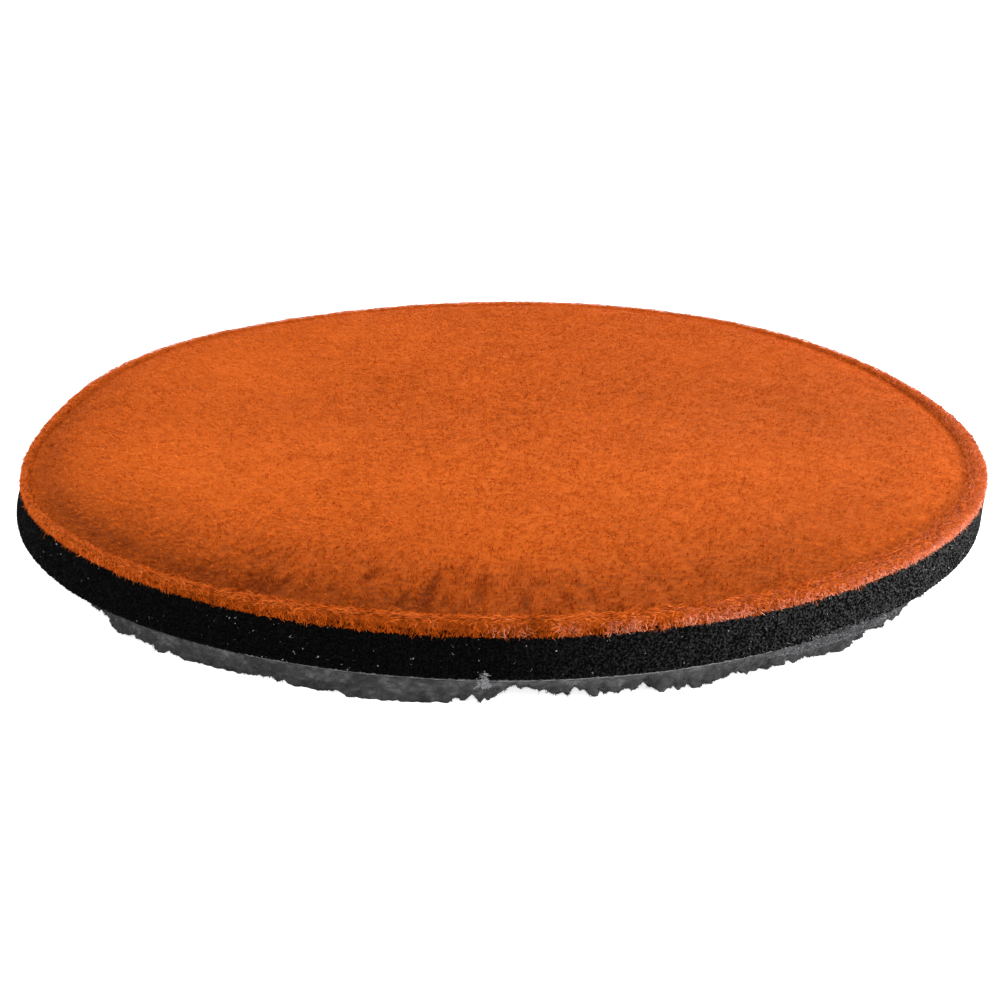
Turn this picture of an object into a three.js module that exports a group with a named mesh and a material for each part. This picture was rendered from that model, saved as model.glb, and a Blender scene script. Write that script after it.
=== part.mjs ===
// Polishing pad for a rotary or orbital car polisher: a round, laminated disc that lies
// flat, with its working face up. Seen from the machine side to the working side it is
//   loop nap, knit that carries the loops, bond film, foam core, bond film, knit that
//   carries the pile, and the short velvet pile that touches the paint.
//
// Millimetres, +Z up. The origin is the centre of the underside of the loop nap, so the
// pad stands on z = 0. Every layer is a body of revolution about Z, and each one starts
// at the height where the one under it ends, because the layers are bonded face to face.

import * as THREE from 'three';

// ---- Driving dimensions -----------------------------------------------------------

const PAD_RADIUS = 65; //          the trimmed foam and velvet: a 130 mm pad

const LOOP_PILE_THICKNESS = 2.5; // brushed nap that the machine's hooks grip
const LOOP_KNIT_THICKNESS = 0.6; // knit that holds the loops' roots
const BOND_FILM_THICKNESS = 0.15; // foam skin melted to bond each cloth
const FOAM_THICKNESS = 5.15; //     resilient core
const GROUND_CLOTH_THICKNESS = 0.4; // knit that holds the velvet's roots
const VELVET_PILE_THICKNESS = 2.0; // crushed-in pile over the middle of the face

const LOOP_KNIT_RADIUS = 63.4; // the loop cloth is cut a little smaller than the foam
const LOOP_NAP_FOOT_RADIUS = 61.6; // the nap stands on this radius
const LOOP_NAP_BULGE_RADIUS = 63; // and bulges to this one half way up

const GROOVE_RADIUS = 62.3; // bottom of the pressed groove inside the rim
const GROOVE_DEPTH = 0.75; // below the middle of the face
const GROOVE_HALF_WIDTH = 1.1;
const RIM_CREST_DROP = 0.45; // top of the rim bead, below the middle of the face
const RIM_EDGE_HEIGHT = 0.7; // upright edge of the pile at the trimmed side
const SHOULDER_RADIUS = 52; // outside this the face falls slowly towards the groove
const SHOULDER_DROP = 0.25; // how far it has fallen where the groove begins

const SEGMENTS = 112; // facets round every layer

// ---- Finishes ---------------------------------------------------------------------

const ORANGE_VELVET = { color: 0xd2581a, roughness: 0.95, metalness: 0 };
const SALMON_KNIT = { color: 0xe8a58a, roughness: 0.9, metalness: 0 };
const PALE_BOND_FILM = { color: 0xd9c2b4, roughness: 0.6, metalness: 0 };
const BLACK_FOAM = { color: 0x151515, roughness: 0.98, metalness: 0 };
const GREY_KNIT = { color: 0x6a6a6a, roughness: 0.9, metalness: 0 };
const GREY_LOOP_NAP = { color: 0x5a5a5a, roughness: 1, metalness: 0 };

// ---- Profiles: lists of (radius, height) from the axis at the bottom to the axis at the top

/** A flat disc with square edges. */
function discProfile(radius, bottom, top) {
  return [
    new THREE.Vector2(0, bottom),
    new THREE.Vector2(radius, bottom),
    new THREE.Vector2(radius, top),
    new THREE.Vector2(0, top),
  ];
}

/** The brushed nap: flat below where it rests, with a soft edge that bulges out. */
function loopNapProfile(bottom, top) {
  const steps = 8;
  const profile = [new THREE.Vector2(0, bottom)];
  for (let i = 0; i <= steps; i += 1) {
    const t = i / steps;
    const bulge = Math.sin(Math.PI * t) * (LOOP_NAP_BULGE_RADIUS - LOOP_NAP_FOOT_RADIUS);
    profile.push(new THREE.Vector2(LOOP_NAP_FOOT_RADIUS + bulge, bottom + t * (top - bottom)));
  }
  profile.push(new THREE.Vector2(0, top));
  return profile;
}

/** Height of the velvet's groove at a radius, from 0 outside it to -1 at its bottom. */
function grooveShape(radius) {
  const offset = Math.abs(radius - GROOVE_RADIUS) / GROOVE_HALF_WIDTH;
  return offset >= 1 ? 0 : -0.5 * (1 + Math.cos(Math.PI * offset));
}

/**
 * The velvet pile: a flat middle, a shoulder that falls slowly, the pressed groove, and
 * the rim bead, which rolls over to a short upright edge at the trimmed side.
 */
function velvetPileProfile(bottom, top) {
  const crestRadius = GROOVE_RADIUS + GROOVE_HALF_WIDTH;
  const crestHeight = top - RIM_CREST_DROP;
  const edgeHeight = bottom + RIM_EDGE_HEIGHT;
  const grooveStart = GROOVE_RADIUS - GROOVE_HALF_WIDTH;
  const shoulderHeight = top - SHOULDER_DROP;
  const profile = [
    new THREE.Vector2(0, bottom),
    new THREE.Vector2(PAD_RADIUS, bottom),
    new THREE.Vector2(PAD_RADIUS, edgeHeight),
  ];

  const rollSteps = 5; // quarter ellipse from the upright edge to the bead's crest
  for (let i = 1; i <= rollSteps; i += 1) {
    const angle = (i / rollSteps) * (Math.PI / 2);
    const radius = crestRadius + (PAD_RADIUS - crestRadius) * Math.cos(angle);
    profile.push(new THREE.Vector2(radius, edgeHeight + (crestHeight - edgeHeight) * Math.sin(angle)));
  }

  const grooveSteps = 8; // across the groove, from the bead inwards
  for (let i = 1; i <= grooveSteps; i += 1) {
    const t = i / grooveSteps;
    const radius = crestRadius + t * (grooveStart - crestRadius);
    const level = crestHeight + t * (shoulderHeight - crestHeight);
    profile.push(new THREE.Vector2(radius, level + GROOVE_DEPTH * grooveShape(radius)));
  }

  const shoulderSteps = 4; // back up to the flat middle
  for (let i = 1; i <= shoulderSteps; i += 1) {
    const t = i / shoulderSteps;
    const radius = grooveStart + t * (SHOULDER_RADIUS - grooveStart);
    profile.push(new THREE.Vector2(radius, top - SHOULDER_DROP * (1 - t) ** 2));
  }
  profile.push(new THREE.Vector2(0, top));
  return profile;
}

// ---- Assembly ---------------------------------------------------------------------

/** One layer: its profile turned about Z, in its own finish, under its own name. */
function layer(name, profile, finish) {
  const geometry = new THREE.LatheGeometry(profile, SEGMENTS);
  geometry.rotateX(Math.PI / 2);
  const mesh = new THREE.Mesh(geometry, new THREE.MeshStandardMaterial(finish));
  mesh.name = name;
  return mesh;
}

/** All the layers, from the machine side up. */
function polishingPad() {
  const disc = (radius) => (bottom, top) => discProfile(radius, bottom, top);
  const stack = [
    ['loop_pile', LOOP_PILE_THICKNESS, loopNapProfile, GREY_LOOP_NAP],
    ['loop_base_knit', LOOP_KNIT_THICKNESS, disc(LOOP_KNIT_RADIUS), GREY_KNIT],
    ['backing_bond_film', BOND_FILM_THICKNESS, disc(LOOP_KNIT_RADIUS), PALE_BOND_FILM],
    ['foam_core', FOAM_THICKNESS, disc(PAD_RADIUS), BLACK_FOAM],
    ['face_bond_film', BOND_FILM_THICKNESS, disc(PAD_RADIUS), PALE_BOND_FILM],
    ['velvet_ground_cloth', GROUND_CLOTH_THICKNESS, disc(PAD_RADIUS), SALMON_KNIT],
    ['velvet_pile', VELVET_PILE_THICKNESS, velvetPileProfile, ORANGE_VELVET],
  ];

  const pad = new THREE.Group();
  let height = 0;
  for (const [name, thickness, profileOf, finish] of stack) {
    const top = height + thickness;
    pad.add(layer(name, profileOf(height, top), finish));
    height = top;
  }
  return pad;
}

export default polishingPad();
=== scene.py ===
"""Looks of a laminated polishing pad: velvet working face, foam core and brushed loop backing.

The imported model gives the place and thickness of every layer. Each class below builds what is seen of
one sub-assembly around those solids, in metres, and dresses it in the finish of the real material.
"""

import logging
import math
from collections.abc import Callable, Sequence
from dataclasses import dataclass, field
from enum import Enum
from typing import Any

import bpy
import numpy as np
from mathutils import Matrix, Vector


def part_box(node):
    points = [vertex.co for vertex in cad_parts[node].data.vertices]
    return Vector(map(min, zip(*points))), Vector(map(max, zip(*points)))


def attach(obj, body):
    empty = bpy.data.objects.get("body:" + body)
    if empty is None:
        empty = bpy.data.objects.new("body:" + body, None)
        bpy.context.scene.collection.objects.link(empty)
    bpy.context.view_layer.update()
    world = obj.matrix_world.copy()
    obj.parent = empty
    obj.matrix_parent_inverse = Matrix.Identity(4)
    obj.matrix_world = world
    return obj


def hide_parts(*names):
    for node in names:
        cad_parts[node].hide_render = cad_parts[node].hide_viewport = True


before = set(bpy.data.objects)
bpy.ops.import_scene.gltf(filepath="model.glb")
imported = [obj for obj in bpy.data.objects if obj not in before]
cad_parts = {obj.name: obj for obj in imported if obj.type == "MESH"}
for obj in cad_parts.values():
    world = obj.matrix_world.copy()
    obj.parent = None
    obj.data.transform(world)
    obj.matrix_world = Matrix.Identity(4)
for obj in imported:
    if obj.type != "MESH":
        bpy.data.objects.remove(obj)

MM = 0.001
TURN = 2.0 * math.pi
PAD_RADIUS = 65.0 * MM

log = logging.getLogger("polishing_pad")


# ---------------------------------------------------------------------------------------------
# Numbers: smooth noise and steps
# ---------------------------------------------------------------------------------------------


def ease(value: np.ndarray, low: float, high: float) -> np.ndarray:
    """Climbs smoothly from 0 to 1.

    Args:
        value: Numbers of any shape.
        low: Where the climb starts.
        high: Where it ends.

    Returns:
        Numbers from 0 to 1, in the shape of value.
    """
    t = np.clip((value - low) / (high - low), 0.0, 1.0)
    return t * t * (3.0 - 2.0 * t)


def bell(offset: np.ndarray, width: float) -> np.ndarray:
    """1 where the offset is 0, falling smoothly to almost nothing at twice the width."""
    return np.exp(-((offset / width) ** 2))


@dataclass(frozen=True)
class Grain:
    """Smooth seeded noise in space, from -1 to 1, with lumps of one size in metres."""

    size: float
    seed: int
    octaves: int = 1

    def at(self, *axes: np.ndarray) -> np.ndarray:
        """Gives the noise at points.

        Args:
            axes: The points' coordinates, two or three arrays of one shape.

        Returns:
            The noise, in the same shape.
        """
        total = np.zeros(np.broadcast(*axes).shape)
        weight, spread = 1.0, 0.0
        for octave in range(self.octaves):
            scaled = [np.asarray(axis) / self.size * 2.0**octave for axis in axes]
            total += weight * self._layer(scaled, self.seed + 17 * octave)
            spread += weight
            weight *= 0.5
        return total / spread

    def on_circle(self, radius: Any, angle: np.ndarray, *heights: np.ndarray) -> np.ndarray:
        """The noise at points given by radius and angle, with or without their heights."""
        return self.at(radius * np.cos(angle), radius * np.sin(angle), *heights)

    @staticmethod
    def _layer(axes: Sequence[np.ndarray], seed: int) -> np.ndarray:
        """One octave: random values on a lattice, eased between its corners.

        Args:
            axes: The points' coordinates, in lumps.
            seed: The octave's own seed.

        Returns:
            The noise, from -1 to 1.
        """
        table = np.random.default_rng(seed).uniform(-1.0, 1.0, 4096)
        primes = (73856093, 19349663, 83492791)
        cells = [np.floor(axis).astype(np.int64) for axis in axes]
        parts = [axis - cell for axis, cell in zip(axes, cells, strict=True)]
        parts = [part * part * (3.0 - 2.0 * part) for part in parts]
        total = np.zeros(np.broadcast(*axes).shape)
        for corner in range(2 ** len(axes)):
            weight, code = 1.0, 0
            for i, (cell, part) in enumerate(zip(cells, parts, strict=True)):
                step = corner >> i & 1
                weight = weight * (part if step else 1.0 - part)
                code = code ^ ((cell + step) * primes[i])
            total += weight * table[code & 4095]
        return total


# ---------------------------------------------------------------------------------------------
# Meshes
# ---------------------------------------------------------------------------------------------


def evenly(count: int) -> np.ndarray:
    """The angles, in radians, of spokes spread evenly round the pad."""
    return np.arange(count) / count * TURN


def polar(x: np.ndarray, y: np.ndarray) -> tuple[np.ndarray, np.ndarray]:
    """The distances from the axis and the angles from +X of points seen in plan."""
    return np.hypot(x, y), np.arctan2(y, x)


def ring_points(radius: Any, angle: np.ndarray, height: Any) -> np.ndarray:
    """Points at these radii, angles and heights; the last axis holds x, y and z."""
    return np.stack(np.broadcast_arrays(radius * np.cos(angle), radius * np.sin(angle), height), axis=-1)


def mesh_object(name: str, points: np.ndarray, faces: Sequence[np.ndarray]) -> bpy.types.Object:
    """Makes a mesh object.

    Args:
        name: The piece's name.
        points: Its points, n by 3, in metres.
        faces: Arrays of point numbers, one array for each count of corners.

    Returns:
        The object, linked to the scene.
    """
    mesh = bpy.data.meshes.new(name)
    corners = np.concatenate([block.ravel() for block in faces]).astype(np.int32)
    totals = np.concatenate([np.full(len(block), block.shape[1]) for block in faces]).astype(np.int32)
    starts = np.concatenate([[0], np.cumsum(totals)[:-1]]).astype(np.int32)
    mesh.vertices.add(len(points))
    mesh.vertices.foreach_set("co", np.ascontiguousarray(points, np.float32).ravel())
    mesh.loops.add(len(corners))
    mesh.loops.foreach_set("vertex_index", corners)
    mesh.polygons.add(len(totals))
    mesh.polygons.foreach_set("loop_start", starts)
    mesh.polygons.foreach_set("loop_total", totals)
    mesh.update(calc_edges=True)
    piece = bpy.data.objects.new(name, mesh)
    bpy.context.scene.collection.objects.link(piece)
    return piece


def paint(piece: bpy.types.Object, name: str, values: np.ndarray) -> None:
    """Stores one number for each point of a piece.

    Args:
        piece: The piece.
        name: The attribute's name, which a material reads.
        values: The numbers, in the order of the points.
    """
    layer = piece.data.attributes.new(name, "FLOAT", "POINT")
    layer.data.foreach_set("value", np.ascontiguousarray(values, np.float32))


def smooth(piece: bpy.types.Object) -> bpy.types.Object:
    """Shades a piece smooth, and returns it."""
    piece.data.polygons.foreach_set("use_smooth", np.ones(len(piece.data.polygons), bool))
    return piece


def turned_shell(rings: np.ndarray) -> tuple[np.ndarray, list[np.ndarray]]:
    """Joins rings of points into one closed body with a point at each pole.

    Args:
        rings: Points, rings by points on a ring by 3, from the lower pole's ring to the upper
            pole's; each ring runs anticlockwise seen from above.

    Returns:
        The points and the faces, for mesh_object.
    """
    count, around = rings.shape[:2]
    poles = np.stack([rings[0].mean(axis=0), rings[-1].mean(axis=0)])
    points = np.concatenate([rings.reshape(-1, 3), poles])
    low, high = count * around, count * around + 1
    here = np.arange(around)
    after = (here + 1) % around
    quads = []
    for ring in range(count - 1):
        base, above = ring * around, (ring + 1) * around
        quads.append(np.stack([base + here, base + after, above + after, above + here], axis=1))
    top = (count - 1) * around
    down = np.stack([np.full(around, low), after, here], axis=1)
    up = np.stack([np.full(around, high), top + here, top + after], axis=1)
    return points, [np.concatenate(quads), np.concatenate([down, up])]


# Where along a fibre its blade is wide, for fibres that are long enough to show their bend.
LONG_BLADE = (0.0, 0.4, 0.75)


@dataclass
class Fibres:
    """Short tapered blades, each one bent from its root to its tip.

    The stations say where along each blade it has its own pair of edge points.
    """

    roots: np.ndarray
    knees: np.ndarray
    tips: np.ndarray
    widths: np.ndarray
    shades: np.ndarray
    twist: np.ndarray
    stations: tuple[float, ...] = (0.0, 0.5)

    def picked(self, chosen: np.ndarray) -> "Fibres":
        """The chosen fibres alone.

        Args:
            chosen: True for each fibre to keep.

        Returns:
            The fibres that are kept.
        """
        parts = (self.roots, self.knees, self.tips, self.widths, self.shades, self.twist)
        return Fibres(*(part[chosen] for part in parts), self.stations)

    def piece(self, name: str) -> bpy.types.Object:
        """Builds the fibres as one mesh, with how bright each point is in its shade attribute.

        Args:
            name: The piece's name.

        Returns:
            The mesh object.
        """
        count = len(self.roots)
        along = self.tips - self.roots
        along /= np.linalg.norm(along, axis=1, keepdims=True) + 1e-12
        helper = np.where(np.abs(along[:, 2:3]) > 0.985, [[1.0, 0.0, 0.0]], [[0.0, 0.0, 1.0]])
        across = np.cross(along, helper)
        across /= np.linalg.norm(across, axis=1, keepdims=True)
        third = np.cross(along, across)
        side = across * np.cos(self.twist)[:, None] + third * np.sin(self.twist)[:, None]
        rows, levels = [], []
        for t in self.stations:
            middle = self.roots * (1 - t) ** 2 + self.knees * 2 * t * (1 - t) + self.tips * t * t
            half = side * (0.5 * (1.0 - 0.6 * t**2) * self.widths)[:, None]
            rows += [middle - half, middle + half]
            levels += [t, t]
        rows.append(self.tips)
        levels.append(1.0)
        points = np.stack(rows, axis=1).reshape(-1, 3)
        per = len(levels)
        base = (np.arange(count) * per)[:, None]
        quads = [base + [[2 * i, 2 * i + 1, 2 * i + 3, 2 * i + 2]] for i in range(len(self.stations) - 1)]
        ends = base + [[per - 3, per - 2, per - 1]]
        piece = mesh_object(name, points, [*quads, ends])
        paint(piece, "shade", np.repeat(self.shades, per))
        paint(piece, "reach", np.tile(levels, count))
        return piece


# ---------------------------------------------------------------------------------------------
# Finishes
# ---------------------------------------------------------------------------------------------


def linear(code: str) -> tuple[float, float, float, float]:
    """Turns an sRGB hex colour into the linear one that a shader takes.

    Args:
        code: Six hex digits.

    Returns:
        Red, green and blue from 0 to 1, and alpha 1.
    """
    parts = [int(code[i : i + 2], 16) / 255.0 for i in (0, 2, 4)]
    red, green, blue = (c / 12.92 if c <= 0.04045 else ((c + 0.055) / 1.055) ** 2.4 for c in parts)
    return (red, green, blue, 1.0)


def add_node(
    tree: bpy.types.NodeTree, kind: str, inputs: dict[Any, Any] | None = None, out: Any = 0, **settings: Any
) -> bpy.types.NodeSocket | None:
    """Adds a shader node with its settings and links.

    Args:
        tree: The material's or world's node tree.
        kind: The node's type name, without the leading ShaderNode.
        inputs: A value or another node's output for each input, by name or number.
        out: The output that is wanted, by name or number.
        settings: The node's own properties; ramp is a list of (place, colour) stops.

    Returns:
        The wanted output; None for a node without outputs.
    """
    node = tree.nodes.new("ShaderNode" + kind)
    stops = settings.pop("ramp", None)
    for name, value in settings.items():
        setattr(node, name, value)
    if stops is not None:
        elements = node.color_ramp.elements
        while len(elements) < len(stops):
            elements.new(1.0)
        for element, (place, colour) in zip(elements, stops, strict=True):
            element.position = place
            element.color = colour
    for name, value in (inputs or {}).items():
        if isinstance(value, bpy.types.NodeSocket):
            tree.links.new(value, node.inputs[name])
        else:
            node.inputs[name].default_value = value
    return node.outputs[out] if node.outputs else None


def grey(level: float) -> tuple[float, float, float, float]:
    """A grey of one linear level, with alpha 1."""
    return (level, level, level, 1.0)


def pattern(place: bpy.types.NodeSocket, size_mm: float, **more: float) -> dict[Any, Any]:
    """A texture's inputs: where it is read, the scale for its size in millimetres, and more."""
    return {"Vector": place, "Scale": 1.0 / (size_mm * MM), **more}


@dataclass(frozen=True)
class Finish:
    """A finish of one real material; each kind of finish describes its own surface."""

    name: str

    def surface(self, tree: bpy.types.NodeTree, place: bpy.types.NodeSocket) -> dict[Any, Any]:
        """Adds the nodes that shape the surface.

        Args:
            tree: The material's node tree.
            place: The point on the piece, in metres.

        Returns:
            What goes into the surface shader, by input.
        """
        raise NotImplementedError

    def material(self) -> bpy.types.Material:
        """Builds the material.

        Returns:
            The material, ready for a piece.
        """
        material = bpy.data.materials.new(self.name)
        material.use_nodes = True
        tree = material.node_tree
        tree.nodes.clear()
        inputs = self.surface(tree, add_node(tree, "TexCoord", out="Object"))
        add_node(tree, "OutputMaterial", {"Surface": add_node(tree, "BsdfPrincipled", inputs)})
        return material


@dataclass(frozen=True)
class BrushedPile(Finish):
    """Polyester microfibre, cut and brushed: a soft matte pile, painted darker down between the fibres
    as painted shade and wherever the shade attribute paints shade, with the tips painted lighter as a
    painted highlight and a little sheen on the tips that catch the light.

    The shade attribute says how bright a fibre is, and reach how far up it a point is. The bed
    under the pile takes the same finish, with streaks where the packed fibres lie.
    """

    # The colour at the dark end of the ramp: darker fibres, and painted shade.
    dark_and_shaded: str
    body: str
    tip: str
    fade: str
    mottle_mm: float = 9.0
    streak_mm: float = 0.5
    streaks: float = 0.0
    sheen: float = 0.02
    roughness: float = 0.8

    def surface(self, tree: bpy.types.NodeTree, place: bpy.types.NodeSocket) -> dict[Any, Any]:
        """Adds the pile's mottled, streaked colour and its bumps.

        Args:
            tree: The material's node tree.
            place: The point on the piece, in metres.

        Returns:
            What goes into the surface shader, by input.
        """
        shade = add_node(tree, "Attribute", out="Fac", attribute_name="shade")
        reach = add_node(tree, "Attribute", out="Fac", attribute_name="reach")
        mottle = add_node(tree, "TexNoise", pattern(place, self.mottle_mm, Detail=3.0, Roughness=0.6))
        laid = add_node(tree, "Mapping", {"Vector": place, "Scale": (0.4, 1.0, 1.0)})
        streaks = add_node(tree, "TexNoise", pattern(laid, self.streak_mm, Detail=4.0, Roughness=0.6))
        span = {"From Min": 0.3, "From Max": 0.7, "To Min": -self.streaks, "To Max": self.streaks}
        streak = add_node(tree, "MapRange", {"Value": streaks, **span})
        # Painted shade down each fibre towards its root and a painted highlight at its tip; a low shade
        # attribute paints shade too.
        lift = add_node(tree, "Math", {0: reach, 1: 0.3, 2: streak}, operation="MULTIPLY_ADD")
        level = add_node(tree, "Math", {0: shade, 1: 0.75, 2: lift}, operation="MULTIPLY_ADD")
        ramp = [(0.0, linear(self.dark_and_shaded)), (0.5, linear(self.body)), (1.0, linear(self.tip))]
        colour = add_node(tree, "ValToRGB", {"Fac": level}, ramp=ramp)
        patches = {"Value": mottle, "From Min": 0.4, "From Max": 0.7, "To Max": 0.3}
        faded = {"Factor": add_node(tree, "MapRange", patches), "A": colour, "B": linear(self.fade)}
        return {
            "Base Color": add_node(tree, "Mix", faded, "Result", data_type="RGBA"),
            "Roughness": self.roughness,
            "IOR": 1.5,
            "Specular IOR Level": 0.03,
            "Sheen Weight": self.sheen,
            "Sheen Roughness": 0.5,
            "Sheen Tint": linear(self.tip),
            "Normal": add_node(
                tree, "Bump", {"Height": streaks, "Strength": self.streaks, "Distance": 0.25 * MM}
            ),
        }


@dataclass(frozen=True)
class WarpKnit(Finish):
    """Polyester, warp knitted: fine wales and courses that break the light into tiny chevrons,
    painted darker in the gaps between the wales as painted shade, with the pale flecked yarns of a loom-dyed
    cloth."""

    yarn: str
    gap: str
    fleck: str
    wale_mm: float = 0.55

    def surface(self, tree: bpy.types.NodeTree, place: bpy.types.NodeSocket) -> dict[Any, Any]:
        """Adds the knit's wales, its flecked yarns and its bumps.

        Args:
            tree: The material's node tree.
            place: The point on the piece, in metres.

        Returns:
            What goes into the surface shader, by input.
        """
        wave = pattern(place, self.wale_mm, Distortion=1.2, Detail=2.0)
        wave |= {"Scale": wave["Scale"] / TURN, "Detail Scale": 3.0}
        wales = add_node(tree, "TexWave", wave, "Fac", bands_direction="DIAGONAL")
        fuzz = add_node(tree, "TexNoise", pattern(place, 0.3, Detail=4.0, Roughness=0.7))
        # Painted shade in the gaps between the wales.
        ramp = [(0.1, linear(self.gap)), (0.55, linear(self.yarn))]
        yarns = add_node(tree, "ValToRGB", {"Fac": wales}, ramp=ramp)
        flecks = add_node(tree, "MapRange", {"Value": fuzz, "From Min": 0.5, "From Max": 0.72})
        flecked = {"Factor": flecks, "A": yarns, "B": linear(self.fleck)}
        height = add_node(tree, "Math", {0: wales, 1: fuzz}, operation="ADD")
        return {
            "Base Color": add_node(tree, "Mix", flecked, "Result", data_type="RGBA"),
            "Roughness": 0.85,
            "IOR": 1.5,
            "Specular IOR Level": 0.25,
            "Sheen Weight": 0.4,
            "Sheen Roughness": 0.5,
            "Normal": add_node(tree, "Bump", {"Height": height, "Strength": 0.8, "Distance": 0.12 * MM}),
        }


@dataclass(frozen=True)
class MeltedFilm(Finish):
    """Polyurethane, flame bonded: a thin skin of melted foam, whitish and faintly glossy, that
    shows as a broken pale line between cloth and foam."""

    skin: str
    soaked: str

    def surface(self, tree: bpy.types.NodeTree, place: bpy.types.NodeSocket) -> dict[Any, Any]:
        """Adds the film's blots, which are also its gloss and its bumps.

        Args:
            tree: The material's node tree.
            place: The point on the piece, in metres.

        Returns:
            What goes into the surface shader, by input.
        """
        blots = add_node(tree, "TexNoise", pattern(place, 1.6, Detail=5.0, Roughness=0.6))
        ramp = [(0.42, linear(self.soaked)), (0.6, linear(self.skin))]
        return {
            "Base Color": add_node(tree, "ValToRGB", {"Fac": blots}, ramp=ramp),
            "Roughness": add_node(tree, "MapRange", {"Value": blots, "To Min": 0.4, "To Max": 0.7}),
            "IOR": 1.5,
            "Normal": add_node(tree, "Bump", {"Height": blots, "Strength": 0.4, "Distance": 0.1 * MM}),
        }


@dataclass(frozen=True)
class CutFoam(Finish):
    """Polyurethane, open-cell, die cut: black and matte, because the light is lost in the cells,
    with fine grey specks painted where a cut strut would face the light, as painted highlights, and a
    rare bright painted glint. The specks are painted denser towards +X, where the side light falls,
    as painted light, and coarser than the real struts, so that they show."""

    pit: str
    strut: str
    speck: str
    glint: str
    cell_mm: float = 0.45
    speck_mm: float = 0.26

    def surface(self, tree: bpy.types.NodeTree, place: bpy.types.NodeSocket) -> dict[Any, Any]:
        """Adds the foam's cells, struts, specks and glints.

        Args:
            tree: The material's node tree.
            place: The point on the piece, in metres.

        Returns:
            What goes into the surface shader, by input.
        """
        voronoi = pattern(place, self.cell_mm, Randomness=1.0)
        cells = add_node(tree, "TexVoronoi", voronoi, "Distance", feature="DISTANCE_TO_EDGE")
        grains = add_node(tree, "TexNoise", pattern(place, self.speck_mm, Detail=1.0, Roughness=0.5))
        sparks = add_node(tree, "TexNoise", pattern(place, 1.6 * self.speck_mm, Detail=2.0))
        ramp = [(0.0, linear(self.strut)), (0.12, linear(self.pit))]
        struts = add_node(tree, "ValToRGB", {"Fac": cells}, ramp=ramp)
        # Painted light: the specks grow denser towards +X, where the side light falls.
        across = add_node(tree, "SeparateXYZ", {0: place}, "X")
        painted_side_light = add_node(
            tree, "MapRange", {"Value": across, "From Min": 0.0, "From Max": 0.05, "To Min": 0.05}
        )
        strut_highlights = add_node(tree, "MapRange", {"Value": grains, "From Min": 0.46, "From Max": 0.66})
        specks = add_node(tree, "Math", {0: strut_highlights, 1: painted_side_light}, operation="MULTIPLY")
        # Painted glints: a rare bright speck.
        glints = add_node(tree, "MapRange", {"Value": sparks, "From Min": 0.72, "From Max": 0.76})
        dusted = {"Factor": specks, "A": struts, "B": linear(self.speck)}
        colour = add_node(tree, "Mix", dusted, "Result", data_type="RGBA")
        glinting = {"Factor": glints, "A": colour, "B": linear(self.glint)}
        depth = add_node(tree, "Math", {0: cells, 1: 0.6, 2: grains}, operation="MULTIPLY_ADD")
        return {
            "Base Color": add_node(tree, "Mix", glinting, "Result", data_type="RGBA"),
            "Roughness": 0.9,
            "IOR": 1.5,
            "Specular IOR Level": 0.02,
            "Normal": add_node(tree, "Bump", {"Height": depth, "Strength": 1.0, "Distance": 0.35 * MM}),
        }


@dataclass(frozen=True)
class OpalTable(Finish):
    """Opal acrylic, matte: a pale light table whose own glow fills the shadows on it."""

    glow: float

    def surface(self, tree: bpy.types.NodeTree, place: bpy.types.NodeSocket) -> dict[Any, Any]:
        """Adds the table's fine tooth and its glow.

        Args:
            tree: The material's node tree.
            place: The point on the piece, in metres.

        Returns:
            What goes into the surface shader, by input.
        """
        tooth = add_node(tree, "TexNoise", pattern(place, 0.8))
        return {
            "Base Color": grey(0.93),
            "Roughness": 0.9,
            "Specular IOR Level": 0.1,
            "Emission Color": grey(1.0),
            "Emission Strength": self.glow,
            "Normal": add_node(tree, "Bump", {"Height": tooth, "Strength": 0.05, "Distance": 0.05 * MM}),
        }


ORANGE_PILE = BrushedPile(
    "Orange polyester microfibre, cut and brushed pile",
    dark_and_shaded="743006",
    body="B8500E",
    tip="CE6A2C",
    fade="B04A0C",
)
# Painted shade: darker than the standing pile, for the feet down under its fibres.
PACKED_FEET = BrushedPile(
    "Orange polyester microfibre, packed pile feet",
    dark_and_shaded="602604",
    body="A64A0C",
    tip="B85C1A",
    fade="9E450A",
    streaks=0.15,
)
BROKEN_KNIT = BrushedPile(
    "Salmon polyester, broken knit fibres",
    dark_and_shaded="9C4218",
    body="C46C4A",
    tip="E0AA94",
    fade="BC6848",
    mottle_mm=3.0,
)
MATTED_NAP = BrushedPile(
    "Grey polyester, matted loop nap",
    dark_and_shaded="202020",
    body="3A3A3B",
    tip="626263",
    fade="303031",
    mottle_mm=2.5,
    streaks=0.25,
    sheen=0.05,
    roughness=0.9,
)
LOOP_FIBRES = BrushedPile(
    "Grey polyester, brushed loop fibres",
    dark_and_shaded="1E1E1E",
    body="3C3C3D",
    tip="666667",
    fade="303031",
    mottle_mm=2.5,
    roughness=0.9,
)
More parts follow.
